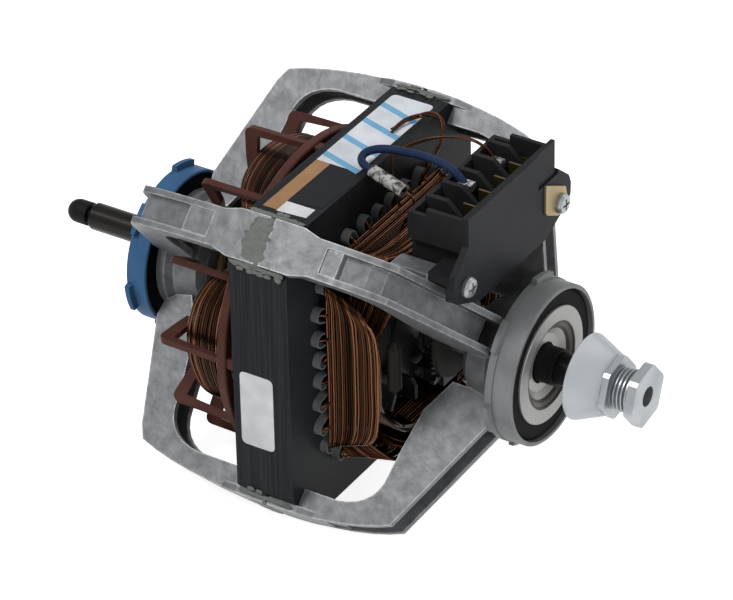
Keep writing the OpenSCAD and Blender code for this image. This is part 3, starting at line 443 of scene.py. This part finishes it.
def straight_turns(angle, count, x_low, x_high, face, slots, r_low, r_high):
    """End turns on the pulley side: each fans out of its slots, then runs straight across the coil."""
    routes = []
    for x, r in each_turn(count, x_low, x_high, r_low, r_high):
        start = slot_place(LEAVE, r, slots)
        _, out, side = start
        half = []
        for across, rise in bow(power=5.0):
            fan = min(1.0, rise * 1.25)
            place = LEAVE + (x - LEAVE) * rise
            level = out + (face - out) * fan + jitter(LOOSE_ACROSS)
            half.append((place, level, side * across + jitter(LOOSE_ACROSS)))
        ends = [slot_place(INSIDE, r, slots), start]
        routes.append(whole_turn(angle, ends, half))
    return routes


def arc_turns(angle, count, x_low, x_high, arc_r, slots, r_low, r_high, sign=-1):
    """End turns that follow an arc about the shaft; sign gives the end of the stack."""
    routes = []
    half_angle = math.radians(slots * SLOT_PITCH)
    for x, r in each_turn(count, x_low, x_high, r_low, r_high):
        half = []
        for across, rise in bow(power=2.15):
            out = r + (arc_r - r) * min(1.0, rise * 1.2) + jitter(LOOSE_ACROSS)
            a = half_angle * across
            place = sign * (LEAVE + (x - LEAVE) * rise)
            half.append((place, out * math.cos(a), out * math.sin(a) + jitter(LOOSE_ACROSS)))
        ends = [slot_place(sign * INSIDE, r, slots), slot_place(sign * LEAVE, r, slots)]
        routes.append(whole_turn(angle, ends, half))
    return routes


# The plain cores under the turns start beside the stack. A curved one has cut edges.
CORE_FROM = 16.2
CORE_EDGE = 1.5


def arc_core(name, angle, r_in, r_out, x_high, half_angle, sign=-1):
    """A curved block about the shaft, under the turns that follow an arc."""
    rings = []
    steps = 16
    edge = x_high - CORE_EDGE
    for i in range(steps + 1):
        a = math.radians(half_angle) * (2 * i / steps - 1)
        ring = [
            (CORE_FROM, r_in), (edge, r_in), (x_high, r_in + CORE_EDGE),
            (x_high, r_out - CORE_EDGE), (edge, r_out), (CORE_FROM, r_out),
        ]
        rings.append([local(angle, sign * x, r * math.cos(a), r * math.sin(a)) for x, r in ring])
    return loft(name, rings, "start_wire")


def straight_core(name, angle, out_low, out_high, x_high, half):
    """A flat block under the turns that run straight across, sloped down at its two ends."""
    end, drop = 5, 6.0
    rings = []
    for side, down in ((-half, drop), (-half + end, 0.0), (half - end, 0.0), (half, drop)):
        top = x_high - down
        outline = ((CORE_FROM, out_low), (top, out_low), (top, out_high), (CORE_FROM, out_high))
        rings.append([local(angle, *p, side) for p in outline])
    return loft(name, rings, "start_wire")


# Rows of turns: count, first and last reach along the shaft, how far out they run, the slots on
# each side of the middle, and the lowest and highest place in those slots
STRAIGHT_ROWS = [
    (23, 17.0, 38.6, 45.7, 3.5, 46.5, 57.0),
    (22, 17.2, 38.4, 44.7, 2.5, 45.0, 55.0),
    (19, 17.4, 38.0, 43.6, 1.5, 44.4, 51.0),
    (16, 18.0, 37.4, 42.4, 2.5, 43.8, 46.2),
]
ARC_ROWS = [
    (22, 18.4, 39.0, 56.6, 3.5, 45.0, 57.0),
    (21, 18.6, 38.8, 55.5, 2.5, 45.0, 56.0),
    (18, 20.0, 38.6, 53.8, 1.5, 44.5, 51.0),
    (4, 37.0, 38.8, 51.2, 2.5, 48.0, 50.0),
    (4, 37.0, 38.9, 48.6, 2.5, 46.0, 48.0),
    (4, 37.0, 38.7, 46.0, 2.5, 44.5, 46.0),
    (20, 18.2, 38.2, 43.7, 2.5, 43.5, 44.0),
]
START_ROWS = [
    (26, 17.0, 36.8, 41.2, 3.5, 43.6, 48.0),
    (27, 16.8, 36.4, 39.4, 2.5, 43.6, 46.0),
]

for side, angle in COIL_SIDES.items():
    outer = [route for row in STRAIGHT_ROWS for route in straight_turns(angle, *row)]
    outer += [route for row in ARC_ROWS for route in arc_turns(angle, *row)]
    coil = wires(f"coil_turns_{side}", outer, WIRE_R, "magnet_wire")
    rides(coil, "frame", "magnet_wire", f"winding_{side}")
    pulley_core = straight_core(f"coil_core_pulley_{side}", angle, 42.8, 44.2, x_high=35.0, half=21.0)
    blower_core = arc_core(f"coil_core_blower_{side}", angle, 44.4, 54.0, x_high=36.0, half_angle=22.0)
    rides(pulley_core, "frame", "start_wire")
    rides(blower_core, "frame", "start_wire")

start_routes = []
for corner in CORNERS:
    for sign in (-1, 1):
        for row in START_ROWS:
            start_routes += arc_turns(corner, *row, sign)
        name = f"start_core_{corner}_{sign + 1}"
        core = arc_core(name, corner, 39.9, 40.8, x_high=34.0, half_angle=27.0, sign=sign)
        rides(core, "frame", "start_wire")
start_coils = wires("start_turns", start_routes, START_WIRE_R, "start_wire")
rides(start_coils, "frame", "start_wire", "start_winding")


# Weight springs

SPRING_X = 41.6
SPRING_Y = 11
SPRING_REACH = 14.95
SPRING_R = 1.2
SPRING_TURNS = 12
SPRING_WIRE_R = 0.3
POINTS_PER_TURN = 12


def spring_route(y):
    """A coil along Z with a short straight end above and below."""
    steps = SPRING_TURNS * POINTS_PER_TURN
    coiled = SPRING_REACH - 1
    route = [(SPRING_X + SPRING_R, y, -SPRING_REACH)]
    for i in range(steps + 1):
        a = 2 * math.pi * SPRING_TURNS * i / steps
        z = -coiled + 2 * coiled * i / steps
        route.append((SPRING_X + SPRING_R * math.cos(a), y + SPRING_R * math.sin(a), z))
    route.append((SPRING_X + SPRING_R, y, SPRING_REACH))
    return route


spring_routes = [spring_route(y) for y in (-SPRING_Y, SPRING_Y)]
springs = wires("spring_coils", spring_routes, SPRING_WIRE_R, "spring_steel", steps=3)
rides(springs, "rotor", "spring_steel", "weight_springs")


# Leads

SPLICE_FROM = Vector((15, -9.6, 68.3))
SPLICE_TO = Vector((31, -13, 66))
SPLICE_WAY = (SPLICE_TO - SPLICE_FROM).normalized()
TERMINAL_TOP = 63.3
BLUE_ROUTE = [
    SPLICE_FROM + 6 * SPLICE_WAY, SPLICE_FROM + 0.5 * SPLICE_WAY, SPLICE_FROM - 2.5 * SPLICE_WAY,
    (9.2, -7.4, 69.2), (7.8, -4.4, 70), (9, -1, 70.6), (13, 1.6, 71.2), (20, 2.4, 72), (31, 1.4, 73.6),
    (40, -1.4, 75), (46.5, -3.2, 74.4), (51, -3.5, 71), (53, -3.5, 67), (53.2, -3.5, TERMINAL_TOP),
]
BROWN_ROUTE = [
    (5.4, 20, 67.4), (6.4, 28, 67.6), (11, 35, 68.2), (16.4, 36.6, 67.4), (20, 33, 63),
    (19, 27, 55), (17.6, 22.6, 50.2), (17, 21, 47.2),
]
COPPER_ROUTE = [
    (20, 2, 47.2), (17, 3, 53), (14.6, 5, 62), (15.6, 8.6, 67.6), (25.6, 17, 71.6), (38, 19, 74.4),
    (46.5, 18.6, 73.6), (51.4, 18.5, 69.6), (52.8, 18.5, 66), (53, 18.5, TERMINAL_TOP),
]
DROP_ROUTE = [
    SPLICE_TO - 7 * SPLICE_WAY, SPLICE_TO + 2 * SPLICE_WAY, (35.6, -13.8, 63.4),
    (34.6, -13.4, 58), (30.4, -12.6, 51.4), (28.6, -12.2, 47.2),
]


def smooth(route):
    """Points of a smooth curve through the route."""
    steps = 6
    p = [Vector(q) for q in route]
    points = []
    for i in range(len(p) - 1):
        a, b, c, d = p[max(i - 1, 0)], p[i], p[i + 1], p[min(i + 2, len(p) - 1)]
        for s in range(steps):
            t = s / steps
            slope = (c - a) * t
            bend = (2 * a - 5 * b + 4 * c - d) * t**2
            twist = (3 * b - a - 3 * c + d) * t**3
            points.append(0.5 * (2 * b + slope + bend + twist))
    points.append(p[-1])
    return points


# Turns that the strands of a lead make about its middle, for each point of the route
STRAND_TWIST = 0.035


def lead(name, route, diameter_mm, slot, *stands_for, strands=1, strand_mm=0.7):
    """A round lead, or a few thin strands lying loosely side by side, along the same route."""
    middle = [at(*p) for p in smooth(route)]
    thick = diameter_mm if strands == 1 else strand_mm
    off = 0.0 if strands == 1 else (diameter_mm - strand_mm) / 2
    for k in range(strands):
        places = []
        for i, point in enumerate(middle):
            turn = 2 * math.pi * (k / strands + i * STRAND_TWIST)
            places.append(point + Vector((0, math.cos(turn), math.sin(turn))) * off * MM)
        label = name if k == 0 else f"{name}_{k + 1}"
        data = bpy.data.curves.new(label, "CURVE")
        data.dimensions = "3D"
        data.bevel_depth = thick / 2 * MM
        data.bevel_resolution = 3
        data.use_fill_caps = True
        spline = data.splines.new("POLY")
        spline.points.add(len(places) - 1)
        for place, point in zip(spline.points, places):
            place.co = (*point, 1.0)
        piece = rides(add(label, data, slot), "frame", slot, *(stands_for if k == 0 else ()))


lead("lead_blue", BLUE_ROUTE, 3.2, "blue_insulation", "blue_lead")
lead("lead_brown", BROWN_ROUTE, 2.4, "magnet_wire", "brown_lead", strands=3, strand_mm=0.9)
lead("lead_copper", COPPER_ROUTE, 1.4, "magnet_wire", "copper_leads", strands=2)
lead("lead_drop", DROP_ROUTE, 1.4, "magnet_wire", strands=2)


def crimp(name, low, high):
    """The metal end of a lead, as a box between two corners."""
    (x0, y0, z0), (x1, y1, z1) = low, high
    ring = [(x0, y0), (x1, y0), (x1, y1), (x0, y1)]
    rings = [[(x, y, z) for x, y in ring] for z in (z0, z1)]
    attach(loft(name, rings, "crimp"), "frame")


crimp("crimp_blue", (49.2, -5.4, 68.4), (55.0, -1.6, 71.6))
crimp("crimp_copper", (50.2, 16.8, 66.4), (55.0, 20.2, 69.8))


# Adhesive that has run over the feet and along their edges

# The lumps keep inside this reach, out plus side. Each has a slightly other limit, and what lies
# beyond it is pressed back by this share.
LUMP_REACH = 93.75
LUMP_SPREAD = 0.35
LUMP_PRESSED = 0.93


def lump_points(k, angle, x, out, side, rx, ro, rs, around, high):
    """Rings of points on an uneven rounded lump, flattened where it would reach too far."""
    limit = LUMP_REACH + LUMP_SPREAD * (k * 0.618 % 1)
    for i in range(high + 1):
        a = 0.25 + (math.pi - 0.5) * i / high
        for j in range(around):
            b = 2 * math.pi * j / around
            unit = Vector((math.cos(a), math.sin(a) * math.cos(b), math.sin(a) * math.sin(b)))
            grow = 1 + 0.45 * wander(unit * 1.6 + Vector((k * 3.1, angle, 0)))
            px, po, ps = x + rx * grow * unit.x, out + ro * grow * unit.y, side + rs * grow * unit.z
            beyond = po + abs(ps) - limit
            if beyond > 0:
                po -= LUMP_PRESSED * beyond
            yield local(angle, px, po, ps)


def lumps(name, places, slot):
    """Many lumps in one mesh; a place is (angle, x, out, side, and a radius along each)."""
    around, high = 12, 7
    points, faces = [], []
    for k, place in enumerate(places):
        base = len(points)
        last = base + high * around
        points += lump_points(k, *place, around, high)
        for low in range(base, last, around):
            for j in range(around):
                n = (j + 1) % around
                faces.append((low + j, low + around + j, low + around + n, low + n))
        faces.append(tuple(base + j for j in range(around)))
        faces.append(tuple(last + j for j in reversed(range(around))))
    return rides(solid(name, points, faces, slot, True), "frame", slot)


runs = random.Random(11)


def run_between_feet(corner):
    """A row of broad lumps across the corner, in the gap between the two shields' feet."""
    places = []
    for k in range(9):
        side = -7 + 1.75 * k
        along_r = runs.uniform(4.2, 5.6)
        x = runs.uniform(-3.6, -2.0)
        places.append((corner, x, 84.9, side, along_r, runs.uniform(0.75, 0.95), 3.2))
    return places


def seam_under_feet(corner, sign):
    """Small lumps along one edge of the feet, here and there with one below."""
    places = []
    for k in range(12):
        x = -9.4 + 1.7 * k + runs.uniform(-0.5, 0.5)
        out = runs.uniform(83.2, 83.9)
        places.append((corner, x, out, sign * runs.uniform(10.0, 10.5), 2.4, 0.9, 0.9))
        if runs.random() < 0.25:
            out = runs.uniform(81.8, 82.4)
            places.append((corner, x, out, sign * runs.uniform(11.5, 12.1), 1.5, 0.9, 0.8))
    return places


for corner in CORNERS:
    places = run_between_feet(corner) + seam_under_feet(corner, -1) + seam_under_feet(corner, 1)
    runs_piece = lumps(f"bond_runs_{corner}", places, "bond")
    if corner == 45:
        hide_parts("corner_bonds")


# Labels, bare of any print

TOP = STACK.z / 2
LABEL_T = 0.12
LABEL_GAP = 0.02
BAND_GAP = 0.1


def rounded(corners, radius, sharp=0):
    """A polygon's outline with its corners rounded, apart from the first few, which stay sharp."""
    steps = 5
    points = [tuple(corner) for corner in corners[:sharp]]
    for k in range(sharp, len(corners)):
        c = Vector(corners[k])
        to_last = (Vector(corners[k - 1]) - c).normalized()
        to_next = (Vector(corners[(k + 1) % len(corners)]) - c).normalized()
        a, b = c + radius * to_last, c + radius * to_next
        for i in range(steps + 1):
            t = i / steps
            points.append(tuple(a * (1 - t) ** 2 + c * 2 * t * (1 - t) + b * t**2))
    return points


def on_top(name, outline, color, gap=LABEL_GAP):
    """A thin label of its own colour on the stack's top face, from (x, y) corners."""
    MATERIALS[name] = plain(name, color)
    low = TOP + gap
    rings = [[(x, y, z) for x, y in outline] for z in (low, low + LABEL_T)]
    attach(loft(name, rings, name), "frame")


def on_front(name, outline, slot):
    """A thin label on the stack's front face, from (x, z) corners."""
    rings = [[(x, -TOP - d, z) for x, z in outline] for d in (LABEL_GAP, LABEL_GAP + LABEL_T)]
    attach(loft(name, rings, slot), "frame")


LABEL_X = 9.2
WHITE = [(-LABEL_X, -10), (LABEL_X, -10), (LABEL_X, 45), (-LABEL_X, 45)]
ORANGE = [(-LABEL_X, -47), (-3, -47), (-3, -10.1), (-LABEL_X, -10.1)]
BLACK = [(-2.9, -40), (11.0, -38), (11.9, -19), (LABEL_X, -10.1), (-2.9, -10.1)]
PATCH = [(-2.9, -47.6), (9.4, -46.6), (9.4, -40.2), (-2.9, -40.2)]
FRONT = [(-9.6, -29.3), (5.0, -29.3), (5.0, 3.2), (-9.6, 3.2)]
LABEL_CORNER = 2.4
BAND_Y = (-3, 11, 25, 38)
BAND_X = LABEL_X - 0.1
BAND_W = 3
BAND_FALL = 5.6

on_top("label_white", rounded(WHITE, LABEL_CORNER, sharp=2), (0.80, 0.84, 0.90))
on_top("label_orange", ORANGE, (0.42, 0.24, 0.12))
on_top("label_black", BLACK, (0.018, 0.019, 0.021))
on_top("label_patch", PATCH, (0.82, 0.83, 0.84))
for k, y in enumerate(BAND_Y):
    far = y - BAND_FALL
    band = [(BAND_X, far), (BAND_X, far - BAND_W), (-BAND_X, y - BAND_W), (-BAND_X, y)]
    on_top(f"label_band_{k}", band, (0.22, 0.50, 0.75), gap=BAND_GAP)
on_front("label_front", rounded(FRONT, LABEL_CORNER), "label_patch")


# Stage

SENSOR_MM = 36.0
SOFT_LIGHT = 0.23
FLOOR_GLOW = 0.85


def place_camera():
    """The camera of the photograph, by its direction, distance, aim and focal length in pixels."""
    azimuth, elevation, roll = (math.radians(a) for a in (32.54, 33.36, -1.23))
    distance_mm, aim_right_mm, aim_up_mm = 1770.67, 4.37, 0.28
    focal_px, image_w = 4635.19, 733
    flat = math.cos(elevation)
    forward = Vector((-math.sin(azimuth) * flat, math.cos(azimuth) * flat, -math.sin(elevation)))
    level = Vector((math.cos(azimuth), math.sin(azimuth), 0))
    upright = level.cross(forward)
    right = math.cos(roll) * level + math.sin(roll) * upright
    up = math.cos(roll) * upright - math.sin(roll) * level
    data = bpy.data.cameras.new("camera")
    data.sensor_width = SENSOR_MM
    data.lens = focal_px * SENSOR_MM / image_w
    data.clip_end = 50
    camera = bpy.data.objects.new("camera", data)
    turn = Matrix((right, up, -forward)).transposed()
    place = AXIS + (aim_right_mm * right + aim_up_mm * up - distance_mm * forward) * MM
    camera.matrix_world = Matrix.Translation(place) @ turn.to_4x4()
    bpy.context.collection.objects.link(camera)
    bpy.context.scene.camera = camera


def area_light(name, place, size, power):
    """A square lamp that faces the motor."""
    data = bpy.data.lights.new(name, "AREA")
    data.shape = "SQUARE"
    data.size = size
    data.energy = power
    lamp = bpy.data.objects.new(name, data)
    lamp.location = place
    lamp.rotation_euler = (AXIS - Vector(place)).to_track_quat("-Z", "Y").to_euler()
    bpy.context.collection.objects.link(lamp)


def see_white(tree):
    """One for camera, mirror and glass rays, which see white; none for the others."""
    rays = tree.nodes.new("ShaderNodeLightPath")
    seen = rays.outputs["Is Camera Ray"]
    for kind in ("Is Glossy Ray", "Is Transmission Ray"):
        either = tree.nodes.new("ShaderNodeMath")
        either.operation = "MAXIMUM"
        tree.links.new(seen, either.inputs[0])
        tree.links.new(rays.outputs[kind], either.inputs[1])
        seen = either.outputs[0]
    return seen


def light_world():
    """Soft light from all sides, with a white background."""
    world = bpy.data.worlds.new("studio")
    world.use_nodes = True
    tree = world.node_tree
    soft = tree.nodes["Background"]
    soft.inputs["Color"].default_value = (1, 1, 1, 1)
    soft.inputs["Strength"].default_value = SOFT_LIGHT
    white = tree.nodes.new("ShaderNodeBackground")
    white.inputs["Strength"].default_value = 1.0
    mix = tree.nodes.new("ShaderNodeMixShader")
    tree.links.new(see_white(tree), mix.inputs["Fac"])
    tree.links.new(soft.outputs[0], mix.inputs[1])
    tree.links.new(white.outputs[0], mix.inputs[2])
    tree.links.new(mix.outputs[0], tree.nodes["World Output"].inputs["Surface"])
    bpy.context.scene.world = world


def lay_floor():
    """A white floor that keeps the motor's shadow."""
    half = 6.0
    corners = [(-half, -half, 0), (half, -half, 0), (half, half, 0), (-half, half, 0)]
    data = bpy.data.meshes.new("floor")
    data.from_pydata(corners, [], [(0, 1, 2, 3)])
    floor = bpy.data.objects.new("floor", data)
    floor.location.z = -0.5 * MM
    material = new_material("floor", (0.92, 0.92, 0.92), roughness=0.9)
    glow = shader_of(material)
    glow.inputs["Emission Color"].default_value = (1.0, 1.0, 1.0, 1.0)
    seen = node(material, "ShaderNodeMath", operation="MULTIPLY")
    seen.inputs[1].default_value = FLOOR_GLOW
    link(material, see_white(material.node_tree), seen.inputs[0])
    link(material, seen.outputs[0], glow.inputs["Emission Strength"])
    data.materials.append(material)
    bpy.context.collection.objects.link(floor)


bpy.context.scene.view_settings.view_transform = "Standard"
place_camera()
light_world()
lay_floor()
area_light("key", (-0.6, -0.9, 1.7), size=0.7, power=17)
area_light("side", (1.6, -0.6, 0.8), size=0.7, power=7)
area_light("back", (0.1, 1.4, 1.4), size=0.8, power=5)
